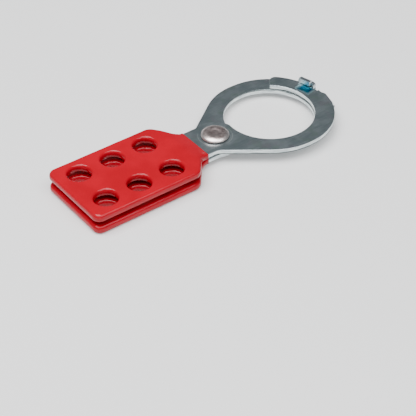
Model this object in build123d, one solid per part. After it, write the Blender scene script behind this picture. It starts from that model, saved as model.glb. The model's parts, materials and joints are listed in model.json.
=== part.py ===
from build123d import *
from math import cos, radians, sin, sqrt, tan
import os

# Lockout hasp: two identical steel stampings, one turned over on the other and joined by a
# rivet. Each has a vinyl-dipped handle with six padlock holes and one hooked jaw arm. Closed,
# the arms make a ring. Y runs along the tool towards the jaws, X across it, Z up.
# The upper half is drawn about the rivet; the lower half is the upper one turned about Y.

# sheet
sheet_t = 2.0
face_gap = 0.2            # between the flat faces of the two stampings
blank_edge_r = 0.12       # rounding that blanking leaves on the sheet's edges

# jaw ring, centred on the tool's axis ahead of the rivet
ring_y = 28.1             # rivet to ring centre
ring_inner_r = 19.05      # 38.1 mm opening
ring_outer_r = 26.5
tip_outer_r = 25.75       # the tip runs inside the other stamping's hook
tip_angle = 141.0         # where the arm ends, counter-clockwise from +X
tip_corner_r = 2.6
tip_nose_r = 0.6
root_angle = -36.0        # the arm's root leaves the ring on the tangent here
root_fillet = 5.0

# hook: a tab folded round the edge of the other stamping
hook_angle = 74.7         # its middle, seen from the ring centre
hook_width = 5.4
hook_outer_r = 28.2
hook_bend_r = 2.3         # outside of its two bends
hook_crease_r = 0.3       # inside of its two bends
hook_reach = 25.0         # how near to the ring centre the folded lip comes
hook_root_r = 23.0
lip_gap = 0.1             # between the lip and the face that it folds over
foot_half = 4.0           # half the width of the tab's foot, below its rounded shoulders
foot_reach = 3.4          # how far past the meeting plane the shoulders come
foot_corner_r = 2.0
stop_gap = 3.1            # from the hook's foot to the step in the edge, all the over-travel there is

# bulge of the edge that carries the hook
bulge_start = 85.5
bulge_end = 47.0
bulge_half = 7.0          # degrees each side of the hook's middle
bulge_r = 27.5
bulge_corner_r = 1.8
bulge_foot_fillet = 2.0
swell_r = 25.95           # the arm stays wider below the bulge: an off-centre disc
swell_shift = 1.3
swell_angle = 68.0
swell_end = 4.3           # where the disc meets the ring's own edge
swell_blend_r = 4.0
corner_soften_r = 0.25    # at the sharp corners of the outline

# shallow seat pressed into the face beside the other stamping's hook
seat_width = 7.8
seat_offset = -2.2        # along the edge from the other hook's middle
seat_depth = 0.3
seat_inner_r = 20.0
seat_corner_r = 0.8

# boss, neck and handle
boss_r = 9.4
boss_foot_fillet = 2.0
neck_half = 8.7
neck_y = -13.9
neck_fillet = 8.0
handle_half = 17.35
handle_end = -68.45
shoulder_y = -20.9
shoulder_fillet = 4.0
end_corner_r = 2.6
joggle_start = -10.5
joggle_end = -17.5
joggle_rise = 1.7
joggle_bend_r = 5.0

# padlock holes, two rows of three
hole_pitch_y = 15.53
hole_pitch_x = 18.85
hole_row_y = -43.8
lock_hole_r = 4.7         # inside the vinyl
vinyl_t = 0.85
vinyl_edge_y = -9.8
vinyl_round = 0.8
vinyl_face_clear = 0.05   # the vinyl stays this far on its own side of the meeting plane

# rivet
shank_r = 3.2
shank_clear = 0.06        # running clearance in the lower stamping
head_r = 6.1
head_h = 1.9
head_rim = 0.35
head_flat_r = 3.7
head_dimple_r = 2.6
head_dimple = 0.3
head_lift = 0.05          # running clearance under the lower head

# the origin is at the middle of the base of the whole tool
steel_low = face_gap / 2
steel_top = steel_low + sheet_t
handle_top = steel_top + joggle_rise
steel_hole_r = lock_hole_r + vinyl_t
front_y = ring_y + hook_outer_r * sin(radians(hook_angle))
front_y += foot_half * cos(radians(hook_angle))
rear_y = handle_end - vinyl_t
pivot_y = -(front_y + rear_y) / 2
base_z = handle_top + vinyl_t

far = 90.0                # longer than any part of the tool


def polar(radius, angle):
    a = radians(angle)
    return (radius * cos(a), ring_y + radius * sin(a))


def ring_frame(angle):
    # at the ring centre, X pointing outwards at the angle and Y counter-clockwise
    return Pos(0, ring_y) * Rot(0, 0, angle)


def ring_disc(radius):
    return Pos(0, ring_y) * Circle(radius)


def region(*points):
    return make_face(Polyline(*points, close=True))


def round_near(face, x, y, radius):
    # rounds the corner of a face that is nearest to a point
    corner = min(face.vertices(), key=lambda v: (v.X - x) ** 2 + (v.Y - y) ** 2)
    return fillet([corner], radius)


def root_corner_y():
    # where the arm's tangent root meets the side of the neck
    x, y = polar(ring_outer_r, root_angle)
    return y - (x - neck_half) / tan(radians(-root_angle))


def arm_outline():
    # the right arm: ring, tangent root, and the bulge that carries the hook
    corner_y = root_corner_y()
    root = region(
        polar(ring_outer_r, root_angle), (neck_half, corner_y), (0, corner_y), (0, ring_y)
    )
    bulge = region(
        polar(ring_outer_r, bulge_start),
        polar(bulge_r, hook_angle + bulge_half),
        polar(bulge_r, hook_angle - bulge_half),
        polar(ring_outer_r, bulge_end),
        (0, ring_y),
    )
    for side in (bulge_half, -bulge_half):
        bulge = round_near(bulge, *polar(bulge_r, hook_angle + side), bulge_corner_r)
    swell = Pos(0, ring_y) * Rot(0, 0, swell_angle) * Pos(swell_shift) * Circle(swell_r)
    swell &= region((0, ring_y), polar(far, swell_angle), (far, ring_y), polar(far, -15))
    open_side = region(
        (0, ring_y), polar(far, tip_angle), (-far, ring_y), (-far, -far), (0, -far)
    )
    arm = ring_disc(ring_outer_r) + root + swell + bulge - open_side
    # past the shoulder the edge steps in, to pass inside the other hook
    step = Pos(0, -foot_half - stop_gap) * Rectangle(
        far, far, align=(Align.MIN, Align.MIN)
    )
    return arm - (ring_frame(180 - hook_angle) * step - ring_disc(tip_outer_r))


def handle_outline():
    right = [
        (neck_half, 0),
        (neck_half, neck_y),
        (handle_half, shoulder_y),
        (handle_half, handle_end),
    ]
    left = [(-x, y) for x, y in reversed(right)]
    return region(*right, *left)


def round_handle(face):
    for side in (1, -1):
        face = round_near(face, side * neck_half, neck_y, neck_fillet)
        face = round_near(face, side * handle_half, shoulder_y, shoulder_fillet)
        face = round_near(face, side * handle_half, handle_end, end_corner_r)
    return face


def shoulder_corner(radius):
    # the two corners of the step in the edge, one on each radius
    along = -foot_half - stop_gap
    corner = ring_frame(180 - hook_angle) * Pos(sqrt(radius**2 - along**2), along)
    return corner.position.X, corner.position.Y


def stamping_outline():
    face = arm_outline() + Circle(boss_r) + handle_outline() - ring_disc(ring_inner_r)
    face = round_near(face, neck_half, root_corner_y(), root_fillet)
    face = round_handle(face)
    cusp_y = (ring_y**2 + boss_r**2 - ring_inner_r**2) / (2 * ring_y)
    boss_foot_y = -sqrt(boss_r**2 - neck_half**2)
    face = round_near(face, -sqrt(boss_r**2 - cusp_y**2), cusp_y, corner_soften_r)
    face = round_near(face, -neck_half, boss_foot_y, boss_foot_fillet)
    for radius in (tip_outer_r, ring_outer_r):
        face = round_near(face, *shoulder_corner(radius), corner_soften_r)
    face = round_near(face, *polar(ring_outer_r, bulge_start), bulge_foot_fillet)
    for radius, angle in ((ring_outer_r, swell_end), (bulge_r, hook_angle - bulge_half)):
        kinks = face.vertices().sort_by_distance((*polar(radius, angle - 1.5), 0))
        face = round_near(face, kinks[0].X, kinks[0].Y, swell_blend_r)
    face = round_near(face, *polar(tip_outer_r, tip_angle), tip_corner_r)
    return round_near(face, *polar(ring_inner_r, tip_angle), tip_nose_r)


def ribbon(margin):
    # side view of the joggled sheet, with the same margin added above and below
    top = [
        (far, steel_top + margin),
        (joggle_start, steel_top + margin),
        (joggle_end, handle_top + margin),
        (-far, handle_top + margin),
    ]
    bottom = [(y, z - sheet_t - 2 * margin) for y, z in reversed(top)]
    face = region(*top, *bottom)
    for y, z in (top[1], top[2], bottom[1], bottom[2]):
        face = round_near(face, y, z, joggle_bend_r)
    return extrude(Plane.YZ * face, far, both=True)


def hole_places():
    for row in (-1, 0, 1):
        for side in (-1, 1):
            yield side * hole_pitch_x / 2, hole_row_y + row * hole_pitch_y


def hole_pins(radius):
    return [Pos(x, y, base_z) * Cylinder(radius, 2 * far) for x, y in hole_places()]


def hook():
    # section seen along the edge: across the sheet, down its own two bends, back underneath
    lip_top = -steel_top - lip_gap
    lip_low = lip_top - sheet_t
    inner_r = hook_outer_r - sheet_t
    face = region(
        (hook_root_r, steel_top),
        (hook_outer_r, steel_top),
        (hook_outer_r, lip_low),
        (hook_reach, lip_low),
        (hook_reach, lip_top),
        (inner_r, lip_top),
        (inner_r, steel_low),
        (hook_root_r, steel_low),
    )
    for z in (steel_top, lip_low):
        face = round_near(face, hook_outer_r, z, hook_bend_r)
    for z in (steel_low, lip_top):
        face = round_near(face, inner_r, z, hook_crease_r)
    lip = extrude(Plane.XZ * face, hook_width / 2, both=True)
    shoulders = Pos(0, -foot_reach) * Rectangle(
        2 * foot_half, far, align=(Align.CENTER, Align.MIN)
    )
    shoulders = fillet(shoulders.vertices().group_by(Axis.Y)[0], foot_corner_r)
    upright = Pos(inner_r) * extrude(Plane.YZ * shoulders, far)
    foot = extrude(Plane.XZ * face, foot_half, both=True) & upright
    return ring_frame(hook_angle) * (lip + foot)


def seat():
    face = Rectangle(far, seat_width, align=(Align.MIN, Align.CENTER))
    face = fillet(face.vertices().group_by(Axis.X)[0], seat_corner_r)
    place = Pos(seat_inner_r, seat_offset, steel_top - seat_depth)
    return ring_frame(180 - hook_angle) * place * extrude(face, far)


def soften_edges(plate):
    # rounds the bare edges of both faces, ahead of the first bend
    for z in (steel_top, steel_low):
        bare = [
            e
            for e in plate.edges()
            if abs(e.center().Z - z) < 0.01 and e.center().Y > vinyl_edge_y + 1
        ]
        plate = fillet(bare, blank_edge_r)
    return plate


def stamping(shank_hole_r):
    blank = extrude(stamping_outline(), far, both=True) & ribbon(0)
    plate = soften_edges(blank) + hook() - seat() - Cylinder(shank_hole_r, far)
    for pin in hole_pins(steel_hole_r):
        plate -= pin
    return plate


def is_skin_rim(edge):
    # the mouth of a padlock hole, or the outline of the outer face
    box = edge.bounding_box()
    middle = edge.center()
    is_wall = box.max.Z - box.min.Z > sheet_t
    is_mouth = edge.is_closed and not is_wall
    crosses_handle = abs(middle.X) < 1 and box.max.X - box.min.X > 2 * neck_half - 1
    crosses_inside = crosses_handle and middle.Y > handle_end
    on_outside = middle.Z > steel_top and middle.Y < joggle_start - 0.5
    return is_mouth or (on_outside and not is_wall and not crosses_inside)


def vinyl(steel):
    # dipped skin: the handle grown by the skin's thickness, cut off square at the neck
    skin_face = offset(round_handle(handle_outline()), vinyl_t, kind=Kind.ARC)
    skin = extrude(skin_face, far, both=True) & ribbon(vinyl_t)
    keep = Pos(0, vinyl_edge_y, vinyl_face_clear) * Box(
        far, far, far, align=(Align.CENTER, Align.MAX, Align.MIN)
    )
    skin = skin & keep
    for pin in hole_pins(lock_hole_r):
        skin -= pin
    skin = fillet([e for e in skin.edges() if is_skin_rim(e)], vinyl_round)
    return skin - steel


def head_profile(z):
    # a domed head set down with a round punch: flat rim, shoulder, dished crown
    crown = z + head_h
    rim = z + head_rim
    side = Spline(
        (head_r, rim), (head_flat_r, crown), tangents=[(-0.25, 1), (-1, 0.12)]
    )
    dish = Spline(
        (head_flat_r, crown),
        (head_dimple_r, crown - head_dimple),
        (0, crown - head_dimple * 0.6),
        tangents=[(-1, 0), (-1, 0)],
    )
    base = Polyline((0, crown - head_dimple * 0.6), (0, z), (head_r, z), (head_r, rim))
    return make_face(side + dish + base)


def rivet():
    head = revolve(Plane.XZ * head_profile(steel_top), Axis.Z)
    foot = Rot(0, 180, 0) * revolve(Plane.XZ * head_profile(steel_top + head_lift), Axis.Z)
    shank = Cylinder(shank_r, 2 * (steel_top + head_lift))
    return head + foot + shank


def place(solid):
    return Pos(0, pivot_y, base_z) * solid


def turned_over(solid):
    return Rot(0, 180, 0) * solid


def main():
    os.makedirs("parts", exist_ok=True)
    upper_steel = stamping(shank_r)
    lower_steel = turned_over(stamping(shank_r + shank_clear))
    skin = vinyl(stamping(shank_r))
    pieces = {
        "upper_jaw_plate": upper_steel,
        "lower_jaw_plate": lower_steel,
        "upper_grip_coating": skin,
        "lower_grip_coating": turned_over(skin),
        "pivot_rivet": rivet(),
    }
    for name, solid in pieces.items():
        export_step(place(solid), f"parts/{name}.step")


main()
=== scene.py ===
import json
import bpy
import numpy as np
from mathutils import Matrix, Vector, geometry


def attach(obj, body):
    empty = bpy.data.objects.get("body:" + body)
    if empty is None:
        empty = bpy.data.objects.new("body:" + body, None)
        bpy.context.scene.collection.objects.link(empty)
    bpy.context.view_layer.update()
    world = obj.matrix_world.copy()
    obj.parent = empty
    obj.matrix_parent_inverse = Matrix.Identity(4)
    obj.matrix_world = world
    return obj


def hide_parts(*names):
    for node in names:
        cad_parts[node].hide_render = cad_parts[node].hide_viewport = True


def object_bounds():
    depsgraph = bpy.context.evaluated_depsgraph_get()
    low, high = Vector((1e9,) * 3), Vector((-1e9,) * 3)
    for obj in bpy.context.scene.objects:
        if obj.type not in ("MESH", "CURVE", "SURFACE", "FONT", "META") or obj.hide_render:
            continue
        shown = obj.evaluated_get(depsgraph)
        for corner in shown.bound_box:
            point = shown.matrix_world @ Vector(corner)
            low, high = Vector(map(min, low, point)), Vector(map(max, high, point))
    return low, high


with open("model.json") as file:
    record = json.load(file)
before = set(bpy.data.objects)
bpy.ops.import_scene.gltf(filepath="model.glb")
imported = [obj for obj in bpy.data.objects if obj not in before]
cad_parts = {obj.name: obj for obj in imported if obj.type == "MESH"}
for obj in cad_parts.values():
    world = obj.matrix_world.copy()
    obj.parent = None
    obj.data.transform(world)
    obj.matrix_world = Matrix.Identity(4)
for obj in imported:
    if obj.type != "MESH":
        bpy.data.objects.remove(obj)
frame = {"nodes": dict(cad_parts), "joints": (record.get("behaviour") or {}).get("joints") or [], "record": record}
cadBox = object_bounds()
nodes = frame["nodes"]
mounts = {m["name"]: m for m in frame["record"]["mounts"]}
pivot = Vector(frame["joints"][0]["pos_m"])   # on the rivet's axis, where the halves meet
mm = 0.001
print("frame loaded, pivot at", [round(v, 5) for v in pivot])


# camera

view = {
    "aim": (35.61, -30.09, 2.1),   # millimetres from the pivot
    "distance": 562.9,
    "elevation": 39.34,            # degrees
    "bearing": -36.67,             # degrees from +X to where the camera stands
    "lens": 127.55,
    "sensor": 36.0,
}


def direction(elevation, bearing):
    # unit vector: (cos e cos b, cos e sin b, sin e)
    e, b = np.radians(elevation), np.radians(bearing)
    return Vector((np.cos(e) * np.cos(b), np.cos(e) * np.sin(b), np.sin(e)))


def makeCamera():
    away = direction(view["elevation"], view["bearing"])
    data = bpy.data.cameras.new("camera")
    data.lens, data.sensor_width = view["lens"], view["sensor"]
    data.clip_start, data.clip_end = 0.01, 50.0
    camera = bpy.data.objects.new("camera", data)
    bpy.context.scene.collection.objects.link(camera)
    camera.location = pivot + (Vector(view["aim"]) + away * view["distance"]) * mm
    camera.rotation_euler = (-away).to_track_quat("-Z", "Y").to_euler()
    bpy.context.scene.camera = camera


makeCamera()
print("camera placed")


# surfaces

def smoothStep(low, high, value):
    # 0 below low, 1 above high, 3t^2 - 2t^3 between
    t = np.clip((value - low) / (high - low), 0, 1)
    return t * t * (3 - 2 * t)


def addMesh(name, points, faces, turnedOver=False):
    # points in millimetres from the pivot; turned over means half a turn about Y
    turn = np.array([-1.0, 1.0, -1.0]) if turnedOver else np.ones(3)
    mesh = bpy.data.meshes.new(name)
    mesh.from_pydata((points * turn * mm + np.array(pivot)).tolist(), [], faces)
    mesh.validate()
    mesh.polygons.foreach_set("use_smooth", np.ones(len(mesh.polygons), bool))
    mesh.update()
    piece = bpy.data.objects.new(name, mesh)
    bpy.context.scene.collection.objects.link(piece)
    return piece


def wrapFaces(start, around, across):
    # quads of a grid that closes on itself, rows of points from start
    i, j = np.meshgrid(np.arange(around), np.arange(across - 1), indexing="ij")
    after = (i + 1) % around
    corners = [i * across + j, after * across + j, after * across + j + 1, i * across + j + 1]
    return (start + np.stack(corners, -1).reshape(-1, 4)).tolist()


def roundedPath(corners, spacing):
    # closed path through (x, y, radius) corners, anticlockwise, at an even spacing:
    # each corner gives way to the arc that touches both of its sides
    spots = np.array([c[:2] for c in corners])
    before = np.roll(spots, 1, 0) - spots
    after = np.roll(spots, -1, 0) - spots
    pieces = []
    for spot, back, ahead, radius in zip(spots, before, after, [c[2] for c in corners]):
        back, ahead = back / np.hypot(*back), ahead / np.hypot(*ahead)
        half = np.arccos(np.clip(back @ ahead, -1, 1)) / 2
        inward = (back + ahead) / np.hypot(*(back + ahead))
        middle = spot + inward * radius / np.sin(half)
        first = spot + back * radius / np.tan(half) - middle
        turn = np.sign(back[1] * ahead[0] - back[0] * ahead[1]) * (np.pi - 2 * half)
        t = np.linspace(0, 1, 40)[:, None] * turn
        swing = np.hstack([first[0] * np.cos(t) - first[1] * np.sin(t),
                           first[0] * np.sin(t) + first[1] * np.cos(t)])
        pieces.append(middle + swing)
    path = np.vstack(pieces + [pieces[0][:1]])
    length = np.concatenate([[0], np.cumsum(np.hypot(*np.diff(path, axis=0).T))])
    even = np.linspace(0, length[-1], int(length[-1] / spacing), endpoint=False)
    return np.stack([np.interp(even, length, path[:, k]) for k in (0, 1)], -1)


def rim(path, width, power, rings):
    # superellipse |inset/width|^power + |height|^power = 1 carried along a closed path,
    # from the bottom (-1) round the edge to the top (1); the material is on the path's left
    ahead = np.roll(path, -1, 0) - np.roll(path, 1, 0)
    ahead /= np.hypot(*ahead.T)[:, None]
    out = np.stack([ahead[:, 1], -ahead[:, 0]], -1)
    angle = np.linspace(-np.pi / 2, np.pi / 2, rings)
    inset = 1 - np.abs(np.cos(angle)) ** (2 / power)
    height = np.sign(angle) * np.abs(np.sin(angle)) ** (2 / power)
    place = path[:, None] - out[:, None] * (np.reshape(width, (-1, 1, 1)) * inset[None, :, None])
    return np.dstack([place, np.broadcast_to(height, place.shape[:2])])


# vinyl skin of one handle: the dipped steel's outline with soft rims, six holes through it

skin = {
    "outline": (                  # x, y, corner radius, millimetres from the pivot
        (9.15, -9.8, 0.3), (-9.15, -9.8, 0.3), (-9.5, -13.4, 6.0), (-18.2, -20.5, 4.85),
        (-18.2, -69.3, 3.45), (18.2, -69.3, 3.45), (18.2, -20.5, 4.85), (9.5, -13.4, 6.0),
    ),
    "rimWidth": 1.5,
    "neckRimWidth": 0.28,
    "rimPower": 2.3,
    "holeRimWidth": 1.35,
    "holeRadius": 4.7,
    "spacing": 0.45,
    "holePoints": 72,
    "rings": 21,
    "neckBlend": (0.1, 2.2),      # distance from the neck's edge where its thin rim widens
    "fillSpacing": 1.1,
    "fillAcross": (-18, 18.1),
    "fillAlong": (-69, -9),
    "fillSlack": 0.997,           # a fill triangle's middle may dip this far into a chord
    "steelHalf": 1.0,
    "steelMiddle": 1.1,           # height of the sheet's middle at the neck
    "rise": 1.7,                  # of the joggle, between these two distances
    "riseFrom": -9.6,
    "riseTo": -18.4,
    "thickness": 0.79,
    "neckThickness": 0.28,
    "thinWithin": 3.0,            # how far from the neck's edge the skin is thinner
    "wave": 0.035,
    "waveTurns": ((0.37, 0.21), (-0.11, 0.29), (0.17, -0.47)),   # radians per millimetre of x, y
    "endSwell": 0.06,             # the dip runs down and gathers at the handle's end
    "endSwellFrom": 2.5,
    "endSwellLength": 2.2,
    "lowest": 0.06,               # each skin stays on its own side of the meeting plane
}


def holeCentres():
    spots = [Vector(m["pos_m"]) - pivot for n, m in mounts.items() if n.startswith("lock_hole")]
    return np.array([[s.x, s.y] for s in spots]) / mm


def insideOutline(points, path):
    # even-odd crossings of a ray towards +X with the closed path
    x, y = points[:, :1], points[:, 1:2]
    x0, y0 = path.T
    x1, y1 = np.roll(path, -1, 0).T
    crosses = (y0 > y) != (y1 > y)
    slope = (x1 - x0) / np.where(y1 == y0, 1e-9, y1 - y0)
    return (crosses & (x < x0 + (y - y0) * slope)).sum(1) % 2 == 1


def skinHeights(x, y, height):
    # z = middle(y) + height * half(x, y): the sheet's joggle, the skin's own thickness with
    # slow sine waves in it, thin at the neck's edge and swollen at the handle's end
    middle = skin["steelMiddle"] + skin["rise"] * smoothStep(-skin["riseFrom"], -skin["riseTo"], -y)
    neck = skin["outline"][0][1]
    grow = smoothStep(0, skin["thinWithin"], neck - y)
    thick = skin["neckThickness"] + (skin["thickness"] - skin["neckThickness"]) * grow
    first, second, third = [x * u + y * v for u, v in skin["waveTurns"]]
    wave = np.sin(first + 1.0) * np.sin(second) + np.sin(third)
    fromEnd = y - skin["outline"][4][1] - skin["endSwellFrom"]
    swell = skin["endSwell"] * np.exp(-(fromEnd / skin["endSwellLength"]) ** 2)
    half = skin["steelHalf"] + thick + skin["wave"] * 0.5 * wave * grow + swell
    z = middle + height * (half - skin["wave"])
    return np.maximum(z, skin["lowest"])


def makeSkin(name, turnedOver):
    path = roundedPath(skin["outline"], skin["spacing"])
    neck = skin["outline"][0][1]
    away = smoothStep(*skin["neckBlend"], neck - path[:, 1])
    width = skin["neckRimWidth"] + (skin["rimWidth"] - skin["neckRimWidth"]) * away
    bands = [rim(path, width, skin["rimPower"], skin["rings"])]
    turn = -np.linspace(0, 2 * np.pi, skin["holePoints"], endpoint=False)
    circle = skin["holeRadius"] * np.stack([np.cos(turn), np.sin(turn)], -1)
    centres = holeCentres()
    for centre in centres:
        bands.append(rim(centre + circle, skin["holeRimWidth"], skin["rimPower"], skin["rings"]))
    # the flat between the rims, filled with a triangulated scatter of points
    loops = [band[:, -1, :2] for band in bands]
    step = skin["fillSpacing"]
    gx, gy = np.meshgrid(np.arange(*skin["fillAcross"], step), np.arange(*skin["fillAlong"], step))
    gx = gx + (np.arange(gx.shape[0]) % 2)[:, None] * step / 2
    fill = np.stack([gx.ravel(), gy.ravel()], -1)
    clear = np.min(np.hypot(*(fill[:, None] - np.vstack(loops)[None]).transpose(2, 0, 1)), 1)
    bore = np.min(np.hypot(*(fill[:, None] - centres[None]).transpose(2, 0, 1)), 1)
    top = skin["holeRadius"] + skin["holeRimWidth"]
    fill = fill[insideOutline(fill, loops[0]) & (clear > step * 0.5) & (bore > top)]
    flat = np.vstack(loops + [fill])
    edges, start = [], 0
    for loop in loops:
        index = np.arange(len(loop))
        edges += np.stack([index + start, (index + 1) % len(loop) + start], -1).tolist()
        start += len(loop)
    out = geometry.delaunay_2d_cdt([Vector(p) for p in flat], edges, [], 0, 1e-7)
    assert len(out[0]) == len(flat)
    faces = np.array([f for f in out[2] if len(f) == 3])
    middle = flat[faces].mean(1)
    bore = np.min(np.hypot(*(middle[:, None] - centres[None]).transpose(2, 0, 1)), 1)
    faces = faces[insideOutline(middle, loops[0]) & (bore > top * skin["fillSlack"])]
    # one list of points: all the bands, then the top and bottom fills
    rings = skin["rings"]
    points = np.vstack([band.reshape(-1, 3) for band in bands])
    quads, start, topIndex, lowIndex = [], 0, [], []
    for band in bands:
        quads += wrapFaces(start, len(band), rings)
        topIndex.append(start + np.arange(len(band)) * rings + rings - 1)
        lowIndex.append(start + np.arange(len(band)) * rings)
        start += len(band) * rings
    ones = np.ones((len(fill), 1))
    points = np.vstack([points, np.hstack([fill, ones]), np.hstack([fill, -ones])])
    topIndex = np.concatenate(topIndex + [start + np.arange(len(fill))])
    lowIndex = np.concatenate(lowIndex + [start + len(fill) + np.arange(len(fill))])
    tris = topIndex[faces].tolist() + lowIndex[faces][:, ::-1].tolist()
    points[:, 2] = skinHeights(points[:, 0], points[:, 1], points[:, 2])
    return addMesh(name, points, quads + tris, turnedOver)


upperSkin = makeSkin("upperGripSkin", False)
lowerSkin = makeSkin("lowerGripSkin", True)
print("skins made,", len(upperSkin.data.polygons), "faces each")


# rivet: a turned profile with a little unevenness round it

rivet = {
    "shankRadius": 3.2,
    "headRadius": 5.95,
    "crownRadius": 3.35,
    "headHeight": 1.9,
    "wallBottom": 0.42,
    "wall": ((0.5, 0.0), (0.48, 0.14), (0.12, 0.26)),   # in from the head's edge, and up
    "slopePower": 0.95,
    "domePower": 1.25,
    "dishRadius": 2.7,
    "dish": 0.17,
    "button": 0.05,
    "seatHeight": 2.1,        # upper face of the steel
    "lift": 0.05,             # running clearance under the lower head
    "around": 128,
    "steps": 26,
    "uneven": 0.06,
    "outOfRound": 0.006,
    "ripples": ((2, 0.6, 1.0), (3, 2.0, 0.6), (7, 0.0, 0.35)),   # waves per turn, phase, height
    "leanFrom": 0.8,
}


def headProfile():
    # from the middle of the underside out, up the wall, over the shoulder, into the dish:
    # slope radius = crown + (head - crown) cos^slopePower, height = sin^domePower of one angle;
    # dish = depth (1 - smooth step of radius), with a low button at its middle
    steps = rivet["steps"]
    angle = np.linspace(0, np.pi / 2, steps)
    crown, head = rivet["crownRadius"], rivet["headRadius"]
    low, high = rivet["wallBottom"], rivet["headHeight"]
    radius = crown + (head - crown) * np.cos(angle) ** rivet["slopePower"]
    height = low + (high - low) * np.sin(angle) ** rivet["domePower"]
    inner = np.linspace(crown, 0, steps)[1:]
    dish = rivet["dish"] * (1 - smoothStep(rivet["dishRadius"] * 0.55, rivet["dishRadius"], inner))
    button = rivet["button"] * (1 - smoothStep(0.2, 1.5, inner))
    wall = np.array([(rivet["shankRadius"], 0.0)] + [(head - inset, up) for inset, up in rivet["wall"]])
    return np.vstack([wall, np.stack([radius, height], -1),
                      np.stack([inner, high - dish + button], -1)])


def makeRivet():
    profile = headProfile()
    upper = profile + [0, rivet["seatHeight"]]
    lower = (profile * [1, -1] - [0, rivet["seatHeight"] + rivet["lift"]])[::-1]
    section = np.vstack([lower, upper])[1:-1]      # both poles are single points
    turn = np.linspace(0, 2 * np.pi, rivet["around"], endpoint=False)
    r, z = section.T
    # the wall is out of round, and the crown leans and ripples
    onHead = smoothStep(rivet["shankRadius"] + 0.2, 5.0, r) * (np.abs(z) > rivet["seatHeight"] + 0.3)
    ripple = sum(size * np.sin(turn * count + phase) for count, phase, size in rivet["ripples"])
    radius = r[None] * (1 - rivet["outOfRound"] * onHead[None] * (1.5 + ripple[:, None]))
    onCrown = np.abs(z) > rivet["seatHeight"] + 0.9
    lean = np.sin(turn[:, None] - rivet["leanFrom"]) * r[None] / rivet["headRadius"]
    drop = rivet["uneven"] * (0.8 + lean * 0.8 + 0.25 * ripple[:, None] * r[None] / 6)
    height = z[None] - np.sign(z)[None] * onCrown[None] * drop
    points = np.dstack([radius * np.cos(turn)[:, None], radius * np.sin(turn)[:, None], height])
    across = len(section)
    bottom, top = lower[0, 1], upper[-1, 1] - 0.8 * rivet["uneven"]
    points = np.vstack([points.reshape(-1, 3), [[0, 0, bottom + 0.8 * rivet["uneven"]], [0, 0, top]]])
    index = np.arange(rivet["around"])
    after = (index + 1) % rivet["around"]
    total = rivet["around"] * across
    fans = np.stack([after * across, index * across, index * 0 + total], -1).tolist()
    fans += np.stack([index * across + across - 1, after * across + across - 1,
                      index * 0 + total + 1], -1).tolist()
    return addMesh("peenedRivet", points, wrapFaces(0, rivet["around"], across) + fans)


rivetPiece = makeRivet()
print("rivet made")


# shader maths

class Wire:
    # an output socket that does arithmetic: each operator adds one Math node
    def __init__(self, graph, socket):
        self.graph, self.socket = graph, socket

    def maths(self, operation, *values):
        return self.graph.add("Math", {"operation": operation}, dict(enumerate(values)))

    def __add__(self, other):
        return self.maths("ADD", self, other)

    __radd__ = __add__

    def __sub__(self, other):
        return self.maths("SUBTRACT", self, other)

    def __rsub__(self, other):
        return self.maths("SUBTRACT", other, self)

    def __mul__(self, other):
        return self.maths("MULTIPLY", self, other)

    __rmul__ = __mul__

    def __abs__(self):
        return self.maths("ABSOLUTE", self)


class Graph:
    # the node tree of one material
    def __init__(self, name):
        self.material = bpy.data.materials.new(name)
        self.material.use_nodes = True
        self.tree = self.material.node_tree
        self.tree.nodes.clear()

    def add(self, kind, settings=None, inputs=None, output=0):
        # settings first, then values or wires by socket name or number
        node = self.tree.nodes.new("ShaderNode" + kind)
        for key, value in (settings or {}).items():
            setattr(node, key, value)
        for key, value in (inputs or {}).items():
            if isinstance(value, Wire):
                self.tree.links.new(value.socket, node.inputs[key])
            else:
                node.inputs[key].default_value = value
        return Wire(self, node.outputs[output])

    def place(self):
        return self.add("TexCoord", output="Object")

    def part(self, vector, axis):
        return self.add("SeparateXYZ", inputs={0: vector}, output=axis)

    def shift(self, vector, point):
        return self.add("VectorMath", {"operation": "SUBTRACT"}, {0: vector, 1: tuple(point)})

    def along(self, vector, axis):
        return self.add("VectorMath", {"operation": "DOT_PRODUCT"}, {0: vector, 1: axis}, "Value")

    def noise(self, vector, size, detail=2.0, roughness=0.5, distortion=0.0):
        # size is the pattern's grain in metres
        return self.add("TexNoise", inputs={
            "Vector": vector, "Scale": 1 / size, "Detail": detail,
            "Roughness": roughness, "Distortion": distortion})

    def squeeze(self, vector, scale):
        return self.add("Mapping", {"vector_type": "POINT"}, {"Vector": vector, "Scale": scale})

    def between(self, value, low, high):
        # 0 at low, 1 at high, smooth between
        return self.add("MapRange", {"interpolation_type": "SMOOTHSTEP"},
                        {"Value": value, "From Min": low, "From Max": high})

    def mix(self, factor, first, second):
        return self.add("Mix", {"data_type": "RGBA"}, {0: factor, 6: first, 7: second}, 2)

    def bump(self, height, depth, normal=None):
        # depth in metres for a height of 1
        inputs = {"Height": height, "Distance": depth, "Strength": 1.0}
        if normal is not None:
            inputs["Normal"] = normal
        return self.add("Bump", inputs=inputs)

    def finish(self, constants, wires):
        node = self.tree.nodes.new("ShaderNodeBsdfPrincipled")
        for key, value in constants.items():
            node.inputs[key].default_value = value
        for key, wire in wires.items():
            self.tree.links.new(wire.socket, node.inputs[key])
        out = self.tree.nodes.new("ShaderNodeOutputMaterial")
        self.tree.links.new(node.outputs[0], out.inputs[0])
        return self.material


def colour(red, green, blue):
    return (red, green, blue, 1.0)


# zinc-plated steel

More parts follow.
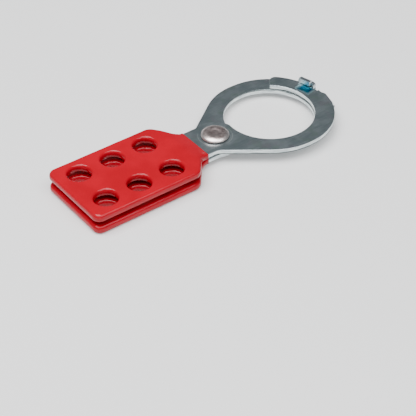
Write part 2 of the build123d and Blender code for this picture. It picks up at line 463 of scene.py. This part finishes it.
zinc = {
    "light": colour(0.47, 0.53, 0.55),
    "dark": colour(0.32, 0.38, 0.40),
    "violet": colour(0.42, 0.40, 0.45),
    "green": colour(0.33, 0.42, 0.38),
    "edge": colour(0.80, 0.86, 0.85),
    "teal": colour(0.004, 0.20, 0.30),
    "navy": colour(0.002, 0.08, 0.20),
    "pale": colour(0.55, 0.80, 0.84),
    "cloudSize": 7 * mm,
    "greenSize": 4.5 * mm,
    "violetSize": 5.5 * mm,
    "grain": 0.30 * mm,
    "streakSquash": 0.06,     # streaks run along Y
    "speckSize": 0.35 * mm,
    "bandSize": 0.5 * mm,
    "roughness": 0.24,
    "streakRoughness": 0.14,
    "speckRoughness": 0.08,
    "sideRoughness": 0.06,
    "streakDepth": 0.005 * mm,
    "speckDepth": 0.010 * mm,
    "bandDepth": 0.03 * mm,
    "seatAngle": 105.3,       # where the other half's hook folds over, degrees from +X
    "seatMiddle": (23.0, -2.2, 1.9),   # outwards, along and up from the ring's centre
    "seatHalf": (3.3, 4.0),
    "markRadius": 7.1,        # faint ring that the riveting tool leaves round the head
    "markHalf": 0.3,
    "breakShadeHalf": 0.62,        # painted shade where the two plates meet, over the rough part of the sheared edge beside the meeting plane
    "breakShade": colour(0.04, 0.055, 0.055),
}


def seatMask(g, place, side, blur):
    # 1 inside the pressed seat: a rectangle turned with the hook, on one face only
    angle = np.radians(zinc["seatAngle"])
    out = Vector((np.cos(angle) * side, np.sin(angle), 0))
    across = Vector((-np.sin(angle) * side, np.cos(angle), 0))
    radial, along, up = zinc["seatMiddle"]
    ring = Vector((0, mounts["jaw_ring"]["pos_m"][1], pivot.z))
    middle = ring + (out * radial + across * along + Vector((0, 0, side * up))) * mm
    local = g.shift(place, middle)
    wander = (g.noise(place, 1.6 * mm, 2.0) - 0.5) * (1.6 * mm)
    halfOut, halfAcross = zinc["seatHalf"]
    nearOut = 1 - g.between(abs(g.along(local, out)) + wander, (halfOut - blur) * mm, halfOut * mm)
    nearAcross = 1 - g.between(abs(g.along(local, across)) + wander,
                               (halfAcross - blur) * mm, halfAcross * mm)
    level = 1 - g.between(abs(g.part(local, "Z")), 0.22 * mm, 0.34 * mm)
    return nearOut * nearAcross * level


def zincMaterial():
    # colour = clouds of light and dark zinc, violet and green tints, a ring round the rivet, pale
    # sheared edges with a band of painted shade where the plates meet, then the seat's pale and dark blue patch;
    # roughness and bump = rolling streaks along Y, speckle, and broken bands on sheared edges
    g = Graph("zinc plate")
    place = g.place()
    clouds = g.noise(place, zinc["cloudSize"], 3.0)
    streaks = g.noise(g.squeeze(place, (1.0, zinc["streakSquash"], 1.0)), zinc["grain"], 3.0, 0.6)
    speck = g.noise(place, zinc["speckSize"], 2.0, 0.7)
    facing = g.add("TexCoord", output="Normal")
    side = 1 - g.between(abs(g.part(facing, "Z")), 0.3, 0.8)
    base = g.mix(g.between(clouds * 0.65 + streaks * 0.35, 0.36, 0.64), zinc["dark"], zinc["light"])
    tint = g.between(g.noise(place, zinc["greenSize"], 1.0), 0.52, 0.7)
    base = g.mix(tint * 0.55, base, zinc["green"])
    tint = g.between(g.noise(place, zinc["violetSize"], 1.0, 0.5, 0.6), 0.52, 0.72)
    base = g.mix(tint * 0.5, base, zinc["violet"])
    flat = g.squeeze(g.shift(place, pivot), (1.0, 1.0, 0.0))
    radius = g.add("VectorMath", {"operation": "LENGTH"}, {0: flat}, "Value")
    off = abs(radius - zinc["markRadius"] * mm)
    mark = 1 - g.between(off, 0.3 * zinc["markHalf"] * mm, zinc["markHalf"] * mm)
    base = g.mix(mark * g.between(clouds, 0.3, 0.6) * 0.5, base, zinc["edge"])
    bands = g.noise(g.squeeze(place, (0.10, 0.10, 1.0)), zinc["bandSize"], 2.0, 0.6)
    base = g.mix(side * 0.9, base, g.mix(g.between(bands, 0.35, 0.65), zinc["light"], zinc["edge"]))
    # painted shade: the sheared edges go nearly black beside the meeting plane, where the plates shade each other
    ragged = (bands - 0.5) * (0.3 * mm)
    middle = abs(g.part(g.shift(place, pivot), "Z")) + ragged
    tornAndShaded = 1 - g.between(middle, (zinc["breakShadeHalf"] - 0.15) * mm, zinc["breakShadeHalf"] * mm)
    base = g.mix(tornAndShaded * side * 0.95, base, zinc["breakShade"])
    # the seat under the hook: a pale patch with a darker teal and navy middle
    depth = g.between(g.noise(place, 2.2 * mm, 2.0), 0.35, 0.65)
    for face in (1, -1):
        seatPatch = seatMask(g, place, face, 0.6)
        base = g.mix(seatPatch, base, zinc["pale"])
        core = seatMask(g, place, face, 2.0)
        base = g.mix(core, base, g.mix(depth, zinc["teal"], zinc["navy"]))
    rough = zinc["roughness"] + streaks * zinc["streakRoughness"]
    rough = rough + speck * zinc["speckRoughness"] + side * zinc["sideRoughness"]
    normal = g.bump(bands * side, zinc["bandDepth"], g.bump(streaks, zinc["streakDepth"]))
    normal = g.bump(speck, zinc["speckDepth"], normal)
    return g.finish({"Metallic": 1.0}, {"Base Color": base, "Roughness": rough, "Normal": normal})


# red dipped vinyl

red = {
    "bright": colour(0.36, 0.0, 0.010),
    "deep": colour(0.31, 0.0, 0.008),
    "waves": 0.07 * mm,
    "dimples": 0.006 * mm,
    "waveSize": 5 * mm,
    "dimpleSize": 0.8 * mm,
    "driftSize": 12 * mm,
    "scuffSize": 1.1 * mm,
    "roughness": 0.10,
    "gloss": 0.34,
}


def vinylMaterial():
    # colour = slow drift from bright to deep red; slow waves, fine dimples and scuffs in the gloss
    g = Graph("dipped vinyl")
    place = g.place()
    drift = g.noise(place, red["driftSize"], 2.0)
    dimples = g.noise(place, red["dimpleSize"], 2.0, 0.6)
    waves = g.noise(place, red["waveSize"], 1.0)
    base = g.mix(g.between(drift, 0.35, 0.7), red["bright"], red["deep"])
    stretched = g.squeeze(place, (1.0, 0.25, 1.0))
    scuffs = g.between(g.noise(stretched, red["scuffSize"], 4.0, 0.7), 0.6, 0.75)
    rough = red["roughness"] + g.noise(place, 4 * mm, 3.0) * 0.09 + scuffs * 0.06
    normal = g.bump(dimples, red["dimples"], g.bump(waves, red["waves"]))
    look = {"IOR": 1.42, "Specular IOR Level": red["gloss"]}
    return g.finish(look, {"Base Color": base, "Roughness": rough, "Normal": normal})


# rivet steel

rivetLook = {
    "pale": colour(0.78, 0.66, 0.63),
    "brown": colour(0.42, 0.32, 0.31),
    "wall": colour(0.86, 0.78, 0.75),
    # painted contact shadow under the head's edge
    "shade": colour(0.05, 0.05, 0.05),
    "blotchSize": 1.5 * mm,
    "grainSize": 0.28 * mm,
    "grainDepth": 0.018 * mm,
    "ringSize": 0.35 * mm,
    "ringDepth": 0.03 * mm,
    "crown": (2.4 * mm, 3.8 * mm),    # the brown fades out between these radii
    "slope": (4.4 * mm, 5.2 * mm),    # and the bright wall, worn steel and a painted highlight, fades in
    "foot": (2.45 * mm, 2.70 * mm),   # heights between which the painted contact shadow under the head's edge ends
}


def rivetMaterial():
    # colour = pale steel browned in blotches and on the crown, brighter low on the wall as worn steel
    # and a painted highlight, a painted contact shadow where it meets the plate; hammer grain and the punch's
    # turned rings in the bump
    g = Graph("peened rivet steel")
    place = g.place()
    local = g.shift(place, pivot)
    flat = g.squeeze(local, (1.0, 1.0, 0.0))
    radius = g.add("VectorMath", {"operation": "LENGTH"}, {0: flat}, "Value")
    blotch = g.noise(place, rivetLook["blotchSize"], 3.0, 0.6)
    grain = g.noise(place, rivetLook["grainSize"], 2.0, 0.6)
    rings = g.noise(g.add("CombineXYZ", inputs={0: radius}), rivetLook["ringSize"], 1.0)
    base = g.mix(g.between(blotch, 0.35, 0.68), rivetLook["pale"], rivetLook["brown"])
    base = g.mix((1 - g.between(radius, *rivetLook["crown"])) * 0.45, base, rivetLook["brown"])
    # worn steel and a painted highlight: the outer slope is paler all round
    base = g.mix(g.between(radius, *rivetLook["slope"]) * 0.8, base, rivetLook["wall"])
    height = abs(g.part(local, "Z"))
    # painted contact shadow: near-black low on the head's outer edge, where it meets the plate
    foot = 1 - g.between(height, *rivetLook["foot"])
    base = g.mix(foot * g.between(radius, 4.5 * mm, 5.0 * mm), base, rivetLook["shade"])
    rough = 0.24 + grain * 0.22
    normal = g.bump(grain, rivetLook["grainDepth"], g.bump(rings, rivetLook["ringDepth"]))
    return g.finish({"Metallic": 1.0}, {"Base Color": base, "Roughness": rough, "Normal": normal})


def dress(piece, material):
    piece.data.materials.clear()
    piece.data.materials.append(material)


steel = zincMaterial()
vinyl = vinylMaterial()
dress(nodes["upper_jaw_plate"], steel)
dress(nodes["lower_jaw_plate"], steel)
dress(upperSkin, vinyl)
dress(lowerSkin, vinyl)
dress(rivetPiece, rivetMaterial())
print("materials made")

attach(upperSkin, "upper_half")
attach(lowerSkin, "lower_half")
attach(rivetPiece, "upper_half")
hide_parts("upper_grip_coating")
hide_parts("lower_grip_coating")
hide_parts("pivot_rivet")


# floor and light

studio = {
    "floor": colour(0.62, 0.62, 0.62),
    "floorPale": colour(0.65, 0.65, 0.65),
    "glow": 0.25,
    "sky": colour(0.60, 0.66, 0.70),
    "skyStrength": 0.25,
    "floorHalf": 4.0,
    "lamps": (
        # name, elevation, bearing, distance, width, power
        ("key", 72.0, -95.0, 1.1, 0.9, 26.0),
        ("fill", 56.0, 15.0, 1.4, 0.8, 13.0),
        ("front", 48.0, -40.0, 1.3, 0.7, 3.0),
    ),
}


def makeStudio():
    low, size = cadBox[0][2], studio["floorHalf"]
    mesh = bpy.data.meshes.new("floor")
    corners = [(-size, -size, low), (size, -size, low), (size, size, low), (-size, size, low)]
    mesh.from_pydata(corners, [], [(0, 1, 2, 3)])
    floor = bpy.data.objects.new("floor", mesh)
    bpy.context.scene.collection.objects.link(floor)
    g = Graph("pale floor")
    tone = g.between(g.noise(g.place(), 0.2, 2.0), 0.2, 0.8)
    base = g.mix(tone, studio["floor"], studio["floorPale"])
    look = {"Roughness": 0.9, "Emission Color": colour(1, 1, 1), "Emission Strength": studio["glow"]}
    mesh.materials.append(g.finish(look, {"Base Color": base}))
    world = bpy.data.worlds.new("studio")
    world.use_nodes = True
    background = world.node_tree.nodes["Background"]
    background.inputs["Color"].default_value = studio["sky"]
    background.inputs["Strength"].default_value = studio["skyStrength"]
    bpy.context.scene.world = world
    for name, elevation, bearing, distance, width, power in studio["lamps"]:
        lamp = bpy.data.lights.new(name, "AREA")
        lamp.size, lamp.energy = width, power
        holder = bpy.data.objects.new(name, lamp)
        bpy.context.scene.collection.objects.link(holder)
        away = direction(elevation, bearing)
        holder.location = pivot + away * distance
        holder.rotation_euler = (-away).to_track_quat("-Z", "Y").to_euler()


makeStudio()
print("studio lit")
